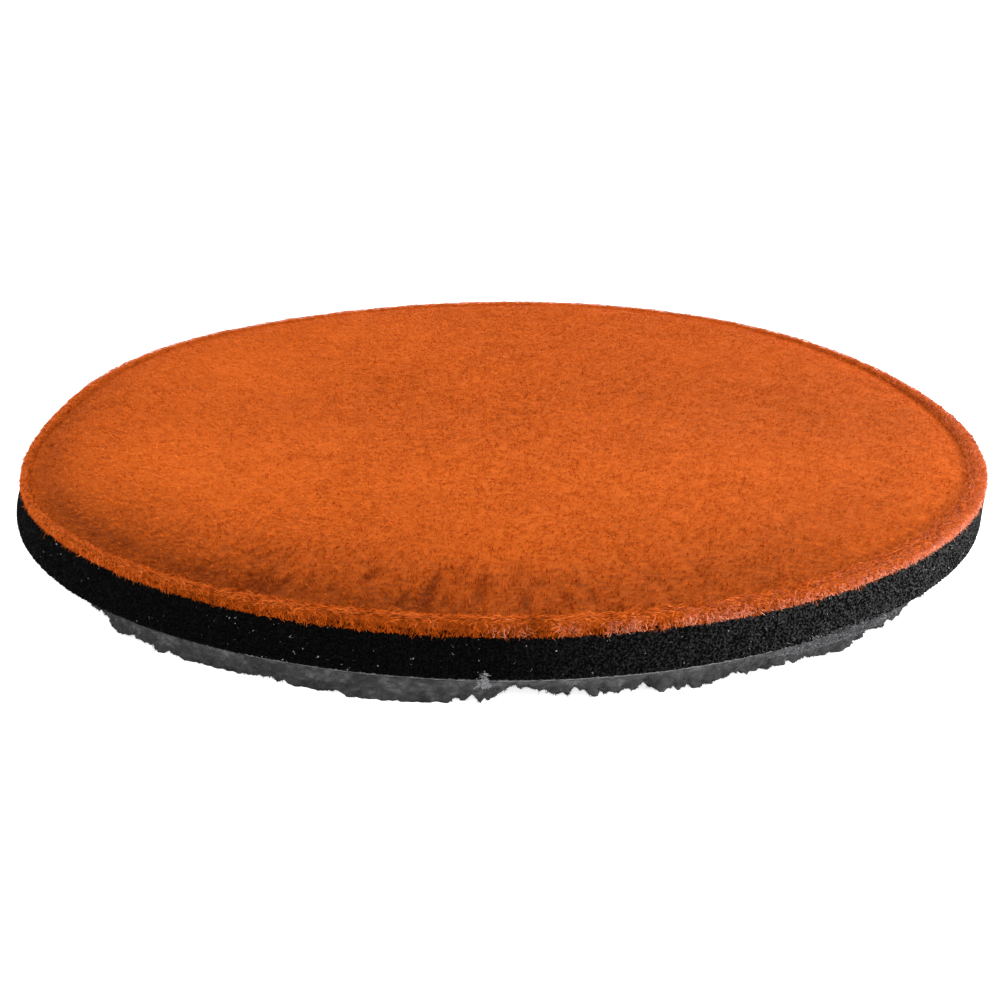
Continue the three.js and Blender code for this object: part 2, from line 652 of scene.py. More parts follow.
# Pale for the pale tuft in front; on the patch at the right its paleness is painted light, where the side
# light falls.
TORN_FIBRES = BrushedPile(
    "Pale grey polyester, torn loop fibres",
    dark_and_shaded="2C2C2D",
    body="58585A",
    tip="A6A6A8",
    fade="4C4C4D",
    mottle_mm=2.5,
    roughness=0.9,
)
SALMON_KNIT = WarpKnit("Salmon polyester, warp knitted", yarn="AC6448", gap="843C20", fleck="BC8068")
GREY_KNIT = WarpKnit("Grey polyester, warp knitted", yarn="4C4C4D", gap="282828", fleck="646465")
BOND_SKIN = MeltedFilm("Whitish polyurethane, flame-bonded skin", skin="A07A68", soaked="6C3C28")
BLACK_FOAM = CutFoam(
    "Black polyurethane, open-cell foam, die cut",
    pit="010101",
    strut="060606",
    speck="383838",
    glint="8A8A8A",
)


# ---------------------------------------------------------------------------------------------
# The layers' places
# ---------------------------------------------------------------------------------------------


class Side(float, Enum):
    """The side of the pad, by the angle from +X that points to it, in degrees."""

    RIGHT = 0.0
    BACK = 90.0
    LEFT = 180.0
    FRONT = 270.0


def towards(angle: np.ndarray, side: float, half_width: float) -> np.ndarray:
    """How much an angle round the pad belongs to a side.

    Args:
        angle: Angles from +X, in radians.
        side: The side's angle, in degrees.
        half_width: How far from the side its influence ends, in degrees.

    Returns:
        1 at the side, falling smoothly to 0 at the half width.
    """
    away = np.abs((np.degrees(angle) - side + 180.0) % 360.0 - 180.0)
    return 1.0 - ease(away, 0.0, half_width)


def with_humps(level: Any, angle: np.ndarray, *humps: tuple[Any, float, float]) -> np.ndarray:
    """Adds humps and hollows round the pad to a level.

    Args:
        level: The level without them.
        angle: Angles from +X, in radians.
        humps: Each one's height (a hollow's is negative), side and half width, in degrees.

    Returns:
        The level at each angle.
    """
    for height, side, half_width in humps:
        level = level + height * towards(angle, side, half_width)
    return level


@dataclass(frozen=True)
class Layer:
    """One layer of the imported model: its lowest and highest height and its outer radius."""

    node: str
    bottom: float
    top: float
    radius: float

    @staticmethod
    def of(node: str) -> "Layer":
        """Reads a layer from the frame.

        Args:
            node: The CAD node's name.

        Returns:
            The layer.
        """
        low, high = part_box(node)
        return Layer(node, low[2], high[2], 0.5 * (high[0] - low[0]))

    def heights(self, lift: Any) -> Any:
        """Heights in the layer, from 0 at its underside to 1 at its top."""
        return self.bottom + (self.top - self.bottom) * lift


def trimmed(points: np.ndarray) -> np.ndarray:
    """Draws points in where the soft pad was trimmed a little out of round.

    Args:
        points: Points of a round pad, n by 3.

    Returns:
        The points of the real outline: tight at the left, and at the right towards the back.
    """
    angle = np.arctan2(points[:, 1], points[:, 0])
    foam = Layer.of("foam_core")
    upper = ease(points[:, 2], foam.bottom, foam.top)
    tight_mm = with_humps(
        2.85 * (0.33 + 0.67 * upper) * towards(angle, Side.LEFT - 3, 39),
        angle,
        (-0.9 * (1.0 - upper), Side.LEFT + 40, 42),
        (2.55, Side.RIGHT + 17, 50),
        (1.8, Side.BACK + 30, 50),
    )
    scale = 1.0 - tight_mm / (PAD_RADIUS / MM)
    return points * np.stack([scale, scale, np.ones_like(scale)], axis=1)


def ride(piece: bpy.types.Object, material: bpy.types.Material) -> bpy.types.Object:
    """Trims and dresses a piece and fixes it to the pad's one body.

    Args:
        piece: The piece.
        material: The piece's material.

    Returns:
        The piece.
    """
    points = np.empty(3 * len(piece.data.vertices), np.float32)
    piece.data.vertices.foreach_get("co", points)
    points = trimmed(points.reshape(-1, 3).astype(float))
    piece.data.vertices.foreach_set("co", points.astype(np.float32).ravel())
    piece.data.update()
    piece.data.materials.append(material)
    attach(piece, "root")
    log.info("%s: %d faces", piece.name, len(piece.data.polygons))
    return piece


# The rows of points up a knit's cut edge, from 0 at its underside to 1 at its top.
STITCH_ROWS = np.linspace(0.0, 1.0, 9)[:, None]


def stitches(angle: np.ndarray, wales: int) -> np.ndarray:
    """How far a knit's stitches stand out along its cut edge, in metres, for each row."""
    return 0.05 * MM * (np.sin(angle * wales) * np.cos(STITCH_ROWS * math.pi * 3))


def capped(side: np.ndarray, radius: float, layer: Layer) -> np.ndarray:
    """Adds a flat ring under and over a layer's side.

    Args:
        side: The side's rings of points, from the lowest up.
        radius: The radius of the added rings, in metres.
        layer: The layer, whose underside and top the rings lie in.

    Returns:
        All the rings.
    """
    angle = evenly(side.shape[1])
    under, over = (ring_points(radius, angle, level)[None] for level in (layer.bottom, layer.top))
    return np.concatenate([under, side, over])


def packed_body(
    name: str, rings: np.ndarray, shade: Callable[[np.ndarray, np.ndarray, np.ndarray], np.ndarray]
) -> bpy.types.Object:
    """Builds a closed body of packed fibres.

    Args:
        name: The piece's name.
        rings: Its rings of points, for turned_shell.
        shade: Gives the brightness at points, from their x, y and z.

    Returns:
        The mesh object, with the shade and the reach that its finish reads.
    """
    body = smooth(mesh_object(name, *turned_shell(rings)))
    points = np.concatenate([rings.reshape(-1, 3), np.zeros((2, 3))])
    paint(body, "shade", shade(points[:, 0], points[:, 1], points[:, 2]))
    paint(body, "reach", np.full(len(points), 0.3))
    return body


# ---------------------------------------------------------------------------------------------
# The velvet face
# ---------------------------------------------------------------------------------------------


@dataclass
class FaceShape:
    """The working face's surface: a cushion, a pressed groove, and a rolled rim that ends in the
    trimmed side.

    Heights are those of the fibre tips. The cushion's crown comes from a cloth simulation of the
    face, held at the groove.
    """

    foam_top: float
    radius: float
    plateau: float = 2.45 * MM
    crown_drop: float = 0.5 * MM
    roll_start: float = 54.0 * MM
    groove_radius: float = 62.4 * MM
    groove_width: float = 0.75 * MM
    crest_height: float = 1.1 * MM
    front_rise: float = 0.75 * MM
    far_drop: float = 0.15 * MM
    wave_height: float = 0.16 * MM
    valley_depth: float = 0.35 * MM
    crown: np.ndarray = field(default_factory=lambda: np.zeros((1, 1)))
    crown_radii: np.ndarray = field(default_factory=lambda: np.zeros(1))

    CLOTH_RINGS = 30
    CLOTH_SPOKES = 90
    CLOTH_FRAMES = 20
    CREST_AT = 0.35
    SIDE_AT = 0.6

    def simulate(self) -> None:
        """Blows the face up as a cloth pinned at the groove, and keeps the form it takes.

        The rise is scaled to the cushion's real height, so the simulation only gives its form.
        """
        held, spokes = self.groove_radius, self.CLOTH_SPOKES
        self.crown_radii = np.linspace(held / self.CLOTH_RINGS, held, self.CLOTH_RINGS)
        dome = np.repeat((1.0 - (self.crown_radii / held) ** 6)[:, None], spokes, axis=1)
        flat = ring_points(self.crown_radii[:, None], evenly(spokes), 0.0)
        flat[..., 2] = 0.05 * MM * Grain(14 * MM, 71, 2).at(flat[..., 0], flat[..., 1])
        points = np.concatenate([flat.reshape(-1, 3), [[0.0, 0.0, 0.0]]])
        here = np.arange(spokes)
        after = (here + 1) % spokes
        first_held = (self.CLOTH_RINGS - 1) * spokes
        quads = [
            np.stack([base + here, base + spokes + here, base + spokes + after, base + after], axis=1)
            for base in range(0, first_held, spokes)
        ]
        middle = np.stack([np.full_like(here, len(points) - 1), here, after], axis=1)
        sheet = mesh_object("face_cloth", points, [np.concatenate(quads), middle])
        rim = sheet.vertex_groups.new(name="held")
        rim.add(list(range(first_held, first_held + spokes)), 1.0, "REPLACE")
        cloth = sheet.modifiers.new("cloth", "CLOTH")
        settings = {
            "quality": 6,
            "mass": 0.02,
            "tension_stiffness": 12.0,
            "compression_stiffness": 12.0,
            "bending_stiffness": 2.0,
            "air_damping": 4.0,
            "vertex_group_mass": "held",
            "use_pressure": True,
            "uniform_pressure_force": 3.0,
        }
        for name, value in settings.items():
            setattr(cloth.settings, name, value)
        cloth.settings.effector_weights.gravity = 0.0
        cloth.point_cache.frame_start = 1
        cloth.point_cache.frame_end = self.CLOTH_FRAMES
        scene = bpy.context.scene
        for step in range(1, self.CLOTH_FRAMES + 1):
            scene.frame_set(step)
        evaluated = sheet.evaluated_get(bpy.context.evaluated_depsgraph_get())
        risen = np.zeros(len(points) * 3, np.float32)
        evaluated.data.vertices.foreach_get("co", risen)
        scene.frame_set(1)
        mesh = sheet.data
        bpy.data.objects.remove(sheet)
        bpy.data.meshes.remove(mesh)
        rise = risen.reshape(-1, 3)[:-1, 2].reshape(self.CLOTH_RINGS, spokes)
        top = float(rise.max())
        log.info("face cloth rose %.2f mm", top / MM)
        if not math.isfinite(top) or top < 0.01 * MM:
            rise, top = dome, 1.0
        self.crown = np.clip(rise / top, 0.0, 1.0)

    def rise(self, radius: np.ndarray, angle: np.ndarray) -> np.ndarray:
        """The cushion's rise at points, read between the cloth's points.

        Args:
            radius: Distances from the axis.
            angle: Angles from +X.

        Returns:
            0 at the groove to 1 at the top of the cushion.
        """
        rings, spokes = self.crown.shape
        u = np.clip(radius / self.crown_radii[-1] * rings - 1.0, 0.0, rings - 1.001)
        v = (angle % TURN) / TURN * spokes
        i, j = np.floor(u).astype(int), np.floor(v).astype(int) % spokes
        s, t = u - i, v - np.floor(v)
        k = (j + 1) % spokes
        inner = self.crown[i, j] * (1 - t) + self.crown[i, k] * t
        outer = self.crown[i + 1, j] * (1 - t) + self.crown[i + 1, k] * t
        return inner * (1 - s) + outer * s

    def groove(self, angle: np.ndarray) -> np.ndarray:
        """The groove's radius, at angles from +X; the rim is narrower at the left and in front."""
        wider = with_humps(0.0, angle, (1.3, Side.LEFT + 32, 60), (1.1, Side.FRONT + 6, 42))
        return self.groove_radius + MM * wider

    def crest(self, angle: np.ndarray) -> np.ndarray:
        """The height of the rolled rim's crest above the foam, at angles from +X.

        Args:
            angle: Angles from +X, in radians.

        Returns:
            Heights in metres.
        """
        raised = self.front_rise * towards(angle, Side.FRONT + 4, 46)
        raised = raised - 0.3 * MM * towards(angle, Side.LEFT + 15, 45)
        return self.crest_height + raised - self.far_drop * towards(angle, Side.BACK, 110)

    def pressed(self, angle: np.ndarray) -> np.ndarray:
        """How far the groove is pressed in, in metres, at angles from +X."""
        hollows = ((0.07, Side.LEFT + 32, 58), (0.28, Side.RIGHT + 12, 40), (0.12, Side.FRONT, 24))
        return MM * with_humps(0.03, angle, *hollows)

    def wear(self, angle: np.ndarray) -> np.ndarray:
        """How far the trimmed side has lost its dye and its long fibres, from 0 to 1.

        Args:
            angle: Angles from +X, in radians.

        Returns:
            0 where the side is whole to 1 where it is worn bare.
        """
        worn = towards(angle, Side.RIGHT - 22, 64)
        patches = Grain(5 * MM, 44, 2).on_circle(PAD_RADIUS, angle)
        return np.clip(worn * 1.25 + 0.15 * patches * (worn > 0.02), 0.0, 1.0)

    def cushion(self, x: np.ndarray, y: np.ndarray) -> np.ndarray:
        """The height of the fibre tips inside the rim.

        Args:
            x: Places along X.
            y: Places along Y.

        Returns:
            Heights in metres.
        """
        radius, angle = polar(x, y)
        crown = np.sqrt(self.rise(np.minimum(radius, 0.999 * self.groove_radius), angle))
        height = self.plateau - self.crown_drop * (1.0 - crown) ** 1.5
        rolled = np.clip((radius - self.roll_start) / (self.groove(angle) - self.roll_start), 0.0, 1.0)
        height = height + (self.crest(angle) - 0.05 * MM - height) * rolled**2.2
        height = height - self.pressed(angle) * bell(radius - self.groove(angle), self.groove_width)
        inside = 1.0 - ease(radius, self.groove_radius - 8 * MM, self.groove_radius)
        waves = Grain(19 * MM, 5, 2).at(x, y) + 0.4 * Grain(6 * MM, 6).at(x, y)
        valley = np.exp(-((x / (46 * MM)) ** 2) - ((y - 4 * MM) / (15 * MM)) ** 2)
        height = height + inside * (self.wave_height * waves - self.valley_depth * valley)
        return self.foam_top + height

    def section(self, angle: np.ndarray, s: np.ndarray) -> tuple[np.ndarray, np.ndarray]:
        """The rim's outline, from the groove over the crest and down the trimmed side.

        Args:
            angle: Angles from +X.
            s: 0 at the groove, CREST_AT at the crest, SIDE_AT at the side's top and 1 at its foot.

        Returns:
            The radius and the height.
        """
        uneven = Grain(2.6 * MM, 8, 2).on_circle(self.radius, angle)
        crest = self.crest(angle) + 0.08 * MM * uneven
        groove = self.groove(angle)
        crest_radius = groove + 0.5 * (self.radius - groove)
        floor = self.crest(angle) - 0.05 * MM - self.pressed(angle)
        turn = np.clip((s - self.CREST_AT) / (self.SIDE_AT - self.CREST_AT), 0.0, 1.0) * 0.5 * math.pi
        side_top = 0.6 * crest
        side = np.clip((s - self.SIDE_AT) / (1.0 - self.SIDE_AT), 0.0, 1.0)
        edge = self.radius - 0.1 * MM + 0.07 * MM * uneven
        radius = np.where(
            s < self.CREST_AT,
            groove + (crest_radius - groove) * (s / self.CREST_AT),
            crest_radius + (edge - crest_radius) * np.sin(turn),
        )
        height = np.where(
            s < self.CREST_AT,
            floor + (crest - floor) * ease(s, 0.0, self.CREST_AT),
            side_top + (crest - side_top) * np.cos(turn) - (side_top - 0.03 * MM) * side,
        )
        return radius, self.foam_top + height


@dataclass(frozen=True)
class Nap:
    """Which way the pile has been brushed, how flat it lies, and its painted light and shade."""

    fan_width: float = 42 * MM
    pull: float = -0.62
    swirl: float = math.radians(30)
    flat: float = math.radians(44)
    sleek: float = math.radians(62)
    rough: float = math.radians(24)

    def direction(self, x: np.ndarray, y: np.ndarray) -> np.ndarray:
        """The direction in plan that the fibres lean in, as an angle from +X.

        Args:
            x: Places along X, in metres.
            y: Places along Y, in metres.

        Returns:
            Angles in radians.
        """
        combed = self.combed(x, y)
        across = (1.0 - combed) * x / self.fan_width
        base = np.arctan2(self.pull + 0.15 * y / self.fan_width - combed, across)
        swirl = Grain(13 * MM, 21, 2).at(x, y) + 0.6 * Grain(3.0 * MM, 22).at(x, y)
        return base + self.swirl * swirl

    def combed(self, x: np.ndarray, y: np.ndarray) -> np.ndarray:
        """How far the pile is combed down over the front shoulder, from 0 to 1."""
        radius, angle = polar(x, y)
        return ease(radius, 46 * MM, 55 * MM) * towards(angle, Side.FRONT - 6.0, 52.0)

    def front(self, x: np.ndarray, y: np.ndarray) -> np.ndarray:
        """How far a place belongs to the front shoulder, painted darker as painted shade, from 0 to 1.

        Args:
            x: Places along X, in metres.
            y: Places along Y, in metres.

        Returns:
            0 away from the shoulder to 1 on it.
        """
        radius, angle = polar(x, y)
        facing = towards(angle, Side.FRONT - 20.0, 105.0)
        return ease(radius, 42 * MM, 63 * MM) * facing

    def lean(self, x: np.ndarray, y: np.ndarray) -> np.ndarray:
        """How far the fibres lean from upright, in radians.

        Args:
            x: Places along X, in metres.
            y: Places along Y, in metres.

        Returns:
            Angles in radians.
        """
        lumps = Grain(4.5 * MM, 23, 2).at(x, y)
        settled = self.flat + (self.sleek - self.flat) * ease(y, 0.0, 40 * MM)
        return settled + (self.rough - settled) * self.combed(x, y) + math.radians(10) * lumps

    def unrest(self, x: np.ndarray, y: np.ndarray) -> np.ndarray:
        """How restless the pile is: smooth at the back, rough at the front, about 1 between."""
        return 1.0 - 0.45 * ease(y, -15 * MM, 45 * MM) + 0.9 * self.front(x, y)

    def partings(self, x: np.ndarray, y: np.ndarray) -> np.ndarray:
        """Narrow gaps that run across the front shoulder, sunk in and painted dark as painted shade, from 0
        to 1.

        Args:
            x: Places along X, in metres.
            y: Places along Y, in metres.

        Returns:
            0 where the pile is closed to 1 in the middle of a gap.
        """
        radius, angle = polar(x, y)
        around = 62 * MM * angle
        gaps = Grain(0.4 * MM, 26).at(around, 0.1 * radius)
        where = ease(radius, 49 * MM, 58 * MM) * towards(angle, Side.FRONT - 9.0, 46.0)
        return ease(gaps, 0.1, 0.7) * where

    def brightness(self, x: np.ndarray, y: np.ndarray) -> np.ndarray:
        """How bright the brushed pile is painted, from 0, in painted shade, to 1, in painted light, with
        some random drift.

        Args:
            x: Places along X, in metres.
            y: Places along Y, in metres.

        Returns:
            The level for the finish's shade attribute.
        """
        # Painted light on a band where the cushion would face the light, and painted shade in the valley.
        band = bell(y + 24 * MM, 9 * MM)
        valley = bell(y - 4 * MM, 13 * MM)
        drift = Grain(17 * MM, 24, 2).at(x, y) + 0.8 * Grain(2.2 * MM, 25, 2).at(x, y)
        level = 0.58 + 0.08 * band - 0.07 * valley + 0.08 * drift * (1.0 - 0.6 * self.front(x, y))
        # Painted lighter towards the back, where the light comes from, and painted darker towards the right,
        # to offset the side light there.
        level = level + 0.05 * ease(y, 15 * MM, 50 * MM) - 0.06 * ease(x, 5 * MM, 50 * MM)
        radius, angle = polar(x, y)
        # Painted shade in the hollow inside the groove at the left, and a painted highlight there at the
        # right.
        hollow = bell(radius - 61.6 * MM, 1.5 * MM)
        level = level - 0.2 * hollow * towards(angle, Side.LEFT + 36.0, 66.0)
        level = level + 0.08 * hollow * towards(angle, Side.RIGHT + 12.0, 34.0)
        # Painted shade on the front shoulder, which falls away from the light.
        return level - 0.44 * self.front(x, y)


@dataclass
class VelvetFace:
    """The orange working face: ground cloth, packed pile feet, standing pile and rolled rim.

    The real fibres are about a tenth as wide and far more; these are as coarse as they need to be
    to show, and so few that they can be drawn.
    """

    shape: FaceShape
    nap: Nap
    cloth: Layer
    pile: Layer
    sectors: int = 12
    tuft_gap: float = 0.36 * MM
    fibres_in_tuft: int = 4
    fibre_length: float = 0.52 * MM
    fibre_width: float = 0.056 * MM
    pile_depth: float = 0.24 * MM
    parting_depth: float = 0.3 * MM
    rim_count: int = 80000
    stray_count: int = 80000
    bed_spokes: int = 420
    cloth_spokes: int = 1400
    cloth_wales: int = 380

    def tufts(self, rng: np.random.Generator) -> np.ndarray:
        """Places of the tufts: a jittered hexagonal grid out to the trimmed side.

        Args:
            rng: Where the chance comes from.

        Returns:
            The tufts' x and y, n by 2.
        """
        reach = self.shape.radius - 0.8 * MM
        rows = int(2 * reach / (self.tuft_gap * math.sqrt(0.75))) + 2
        columns = int(2 * reach / self.tuft_gap) + 2
        row, column = np.meshgrid(np.arange(rows), np.arange(columns), indexing="ij")
        x = (column + 0.5 * (row % 2)) * self.tuft_gap - reach
        y = row * self.tuft_gap * math.sqrt(0.75) - reach
        places = np.stack([x.ravel(), y.ravel()], axis=1)
        places += rng.normal(0.0, 0.28 * self.tuft_gap, places.shape)
        return places[np.hypot(places[:, 0], places[:, 1]) < reach]

    def tops(self, x: np.ndarray, y: np.ndarray) -> np.ndarray:
        """The height of the fibre tips, with the partings sunk into the cushion."""
        return self.shape.cushion(x, y) - self.parting_depth * self.nap.partings(x, y)

    def standing_pile(self) -> Fibres:
        """The fibres of the cushion, gathered into tufts that lean with the nap.

        Returns:
            The fibres.
        """
        rng = np.random.default_rng(101)
        tufts = self.tufts(rng)
        n, each = len(tufts), self.fibres_in_tuft
        x, y = tufts[:, 0], tufts[:, 1]
        heading = self.nap.direction(x, y) + rng.normal(0.0, 0.5, n)
        lean = np.clip(self.nap.lean(x, y) + rng.normal(0.0, 0.15, n), 0.2, 1.45)
        unrest = self.nap.unrest(x, y)
        bright = self.nap.brightness(x, y) - 0.03 + unrest * rng.normal(0.0, 0.155, n)
        bright = bright - 0.3 * unrest * (rng.random(n) < 0.025)
        heading, lean, bright, unrest = (np.repeat(a, each) for a in (heading, lean, bright, unrest))
        count = n * each
        centres = np.repeat(tufts, each, axis=0)
        combed = self.nap.combed(centres[:, 0], centres[:, 1])
        scatter = 0.45 * self.tuft_gap * (1.0 - 0.55 * combed)
        spots = centres + scatter[:, None] * rng.normal(0.0, 1.0, (count, 2))
        radius, angle = polar(spots[:, 0], spots[:, 1])
        groove = self.shape.groove(angle)
        pressed = bell(radius - groove, 1.1 * MM) * self.shape.pressed(angle) / (0.3 * MM)
        heading = heading + rng.normal(0.0, 0.4, count)
        lean = np.clip(lean + rng.normal(0.0, 0.12, count) + 0.25 * pressed, 0.1, 1.55)
        length = self.fibre_length * np.clip(rng.normal(1.0, 0.22, count), 0.5, 1.7)
        length = length * (1.0 - 0.3 * pressed) * (1.0 + 0.9 * combed)
        surface = self.tops(spots[:, 0], spots[:, 1])
        rise = length * np.cos(lean)
        sink = np.minimum(rise + 0.1 * MM, 1.1 * MM)
        clumps = np.repeat(rng.normal(0.0, 1.0, n), each)
        uneven = MM * (0.05 * rng.normal(0.0, 1.0, count) + (0.08 * unrest + 0.16 * combed) * clumps)
        roots = np.column_stack([spots, surface - sink + uneven])
        run = length * np.sin(lean)
        ahead = np.stack([np.cos(heading), np.sin(heading)], axis=1)
        tips = np.column_stack([spots + ahead * run[:, None], roots[:, 2] + rise])
        tips[:, :2] += 0.35 * (centres - spots)
        knees = np.column_stack([spots + ahead * (0.35 * run)[:, None], roots[:, 2] + 0.8 * rise])
        # Where shade is painted beside the groove, at the left and in front.
        crease_shade = bell(radius - groove + 0.25 * MM, 0.7 * MM)
        crease_shade_side = towards(angle, Side.LEFT + 28.0, 72.0)
        crease_shade = crease_shade * np.maximum(crease_shade_side, 0.7 * towards(angle, Side.FRONT + 4.0, 46.0))
        # Painted shade: darker in the pressed groove, beside it and in the partings.
        shades = bright + 0.2 * unrest * rng.normal(0.0, 1.0, count) - 0.16 * pressed - 0.34 * crease_shade
        shades = shades - 0.38 * self.nap.partings(spots[:, 0], spots[:, 1])
        # Painted highlights: a twentieth of the fibres painted brighter, as flecks that catch the light.
        shades = shades - 0.02 + 0.45 * (rng.random(count) < 0.05)
        widths = self.fibre_width * np.clip(rng.normal(1.0, 0.2, count), 0.6, 1.5)
        twist = rng.uniform(-0.9, 0.9, count)
        pile = Fibres(roots, knees, tips, widths, np.clip(shades, 0.0, 1.0), twist)
        return pile.picked(radius < groove + 0.3 * (self.shape.radius - groove))

    def on_rim(
        self, rng: np.random.Generator, angle: np.ndarray, s: np.ndarray, sizes: dict[str, np.ndarray]
    ) -> Fibres:
        """Lays fibres on the rim.

        Args:
            rng: Where the chance comes from.
            angle: The fibres' angles round the pad.
            s: Their places on the rim's section.
            sizes: Each fibre's slant (0 straight down the section, a quarter turn along the
                rim), lift from the surface, length, width and shade.

        Returns:
            The fibres.
        """
        radius, height = self.shape.section(angle, s)
        radius_2, height_2 = self.shape.section(angle, s + 0.01)
        step = np.hypot(radius_2 - radius, height_2 - height) + 1e-9
        down_r, down_z = (radius_2 - radius) / step, (height_2 - height) / step
        past = s > 0.97
        down_r, down_z = np.where(past, 0.0, down_r), np.where(past, -1.0, down_z)
        slant, lift = sizes["slant"], sizes["lift"]
        in_plane, around = np.cos(slant) * np.cos(lift), np.sin(slant) * np.cos(lift)
        out_r = in_plane * down_r - np.sin(lift) * down_z
        out_z = in_plane * down_z + np.sin(lift) * down_r
        cosine, sine = np.cos(angle), np.sin(angle)
        ahead = np.stack([out_r * cosine - around * sine, out_r * sine + around * cosine, out_z], axis=1)
        outward = ring_points(-down_z, angle, down_r)
        roots = ring_points(radius, angle, height) - 0.06 * MM * outward
        length = sizes["length"]
        tips = roots + ahead * length[:, None]
        lifted = 0.12 * length * rng.uniform(0.2, 1.6, len(angle))
        knees = 0.5 * (roots + tips) + lifted[:, None] * outward
        around = PAD_RADIUS * angle
        hang = 0.05 + 1.1 * np.maximum(Grain(1.1 * MM, 46, 2).at(around, 0.3 * around), 0.0)
        lowest = self.shape.foam_top - MM * hang * rng.uniform(0.4, 1.2, len(angle))
        tips[:, 2] = np.maximum(tips[:, 2], lowest)
        twist = rng.uniform(-1.2, 1.2, len(angle))
        return Fibres(roots, knees, tips, sizes["width"], sizes["shade"], twist, LONG_BLADE)

    def rim(self) -> Fibres:
        """The orange fibres of the rolled rim; a few hang over the foam's edge.

        Returns:
            The fibres.
        """
        rng = np.random.default_rng(202)
        count = self.rim_count
        angle, s = rng.uniform(0.0, TURN, count), rng.uniform(0.0, 1.0, count)
        wear = self.shape.wear(angle)
        kept = rng.random(count) < 1.0 - 0.95 * wear * ease(s, 0.2, 0.75)
        angle, s, wear = angle[kept], s[kept], wear[kept]
        count = len(angle)
        left = towards(angle, Side.LEFT + 25.0, 95.0)
        on_side = ease(s, 0.42, 0.6)
        sideways = np.where(rng.random(count) < 0.5 + 0.3 * left, 1.0, -1.0)
        slant = sideways * (1.35 - 0.75 * on_side) + rng.normal(0.0, 0.35, count)
        facing = towards(angle, Side.FRONT, 75.0)
        tufts = Grain(0.42 * MM, 45, 2).at(PAD_RADIUS * angle, 1.6 * s * MM)
        # Painted shade on the groove's side of the crest, deeper where the groove is pressed, at the front
        # and at the left.
        inner = (1.0 - ease(s, 0.05, 0.3)) * (self.shape.pressed(angle) / MM + 0.4 * facing + 0.4 * left)
        # Painted light on the bead at the left, and painted shade on the rim's side where it faces the
        # front.
        shade = 0.64 + 0.2 * left - facing * (0.78 * on_side + 0.03)
        shade = shade + (0.4 + 0.85 * facing) * tufts - inner
        sizes = {
            "slant": slant,
            "lift": rng.normal(0.16, 0.2, count) + 0.1 * on_side,
            "length": rng.gamma(5.0, 0.11 * MM, count) * (1.0 - 0.2 * on_side),
            "width": self.fibre_width * rng.uniform(0.8, 1.3, count),
            "shade": np.clip(shade + rng.normal(0.0, 0.15, count), 0.0, 1.0),
        }
        return self.on_rim(rng, angle, s, sizes)

    def pale_fuzz(self) -> Fibres:
        """Pale broken fibres on the worn side of the rim, and stray ones along the front.

        Returns:
            The fibres.
        """
        rng = np.random.default_rng(303)
        count = self.stray_count
        angle, s = rng.uniform(0.0, TURN, count), rng.uniform(0.0, 1.0, count)
        patches = ease(Grain(2.5 * MM, 47, 2).on_circle(PAD_RADIUS, angle), -0.2, 0.5)
        stray = 1.1 * towards(angle, Side.FRONT + 17.0, 25.0) * ease(s, 0.3, 0.65) * patches
        chance = self.shape.wear(angle) * ease(s, -0.3, 0.5) + stray
        kept = rng.random(count) < chance
        angle, s = angle[kept], s[kept]
        count = len(angle)
        sizes = {
            "slant": rng.uniform(-1.6, 1.6, count),
            "lift": np.abs(rng.normal(0.25, 0.3, count)),
            "length": rng.gamma(5.0, 0.085 * MM, count),
            "width": 0.06 * MM * rng.uniform(0.7, 1.3, count),
            "shade": np.clip(0.2 + 0.45 * ease(s, 0.3, 1.0) + rng.normal(0.0, 0.16, count), 0.0, 1.0),
        }
        return self.on_rim(rng, angle, s, sizes)

    def bed(self) -> bpy.types.Object:
        """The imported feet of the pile, as a closed body just under the fibre tips.

        Returns:
            The mesh object.
        """
        inner = np.linspace(1.0 * MM, 58 * MM, 100)
        angle = evenly(self.bed_spokes)
        outer = np.linspace(0.05, 1.0, 18)[:, None] * (self.shape.groove(angle) - 58 * MM) + 58 * MM
        radii = np.concatenate([np.repeat(inner[:, None], len(angle), axis=1), outer])
        x, y = radii * np.cos(angle), radii * np.sin(angle)
        pits = 0.08 * MM * Grain(0.8 * MM, 31, 2).at(x, y)
        lowest = self.cloth.top + 0.04 * MM
        sunk = np.maximum(self.tops(x, y) - self.pile_depth + pits, lowest)
        top = np.stack([x, y, sunk], axis=2)[::-1]
        s = np.linspace(0.99, 0.02, 24)
        a, along = np.meshgrid(angle, s)
        radius, height = self.shape.section(a, along)
        radius = radius - 0.16 * MM * ease(along, 0.3, 0.6)
        height = np.maximum(height - 0.22 * MM * (1.0 - ease(along, 0.4, 0.7)), lowest)
        rim = ring_points(radius, a, height)
        foot = rim[:1].copy()
        foot[..., 2] = self.cloth.top
        rings = np.concatenate([foot * np.array([0.5, 0.5, 1.0]), foot, rim, top])

        def shade(x: np.ndarray, y: np.ndarray, _z: np.ndarray) -> np.ndarray:
            """Painted shade: a little darker than the fibres over it, and darker still in the partings."""
            return self.nap.brightness(x, y) - 0.05 - 0.25 * self.nap.partings(x, y)

        return packed_body("velvet_pile_bed", rings, shade)

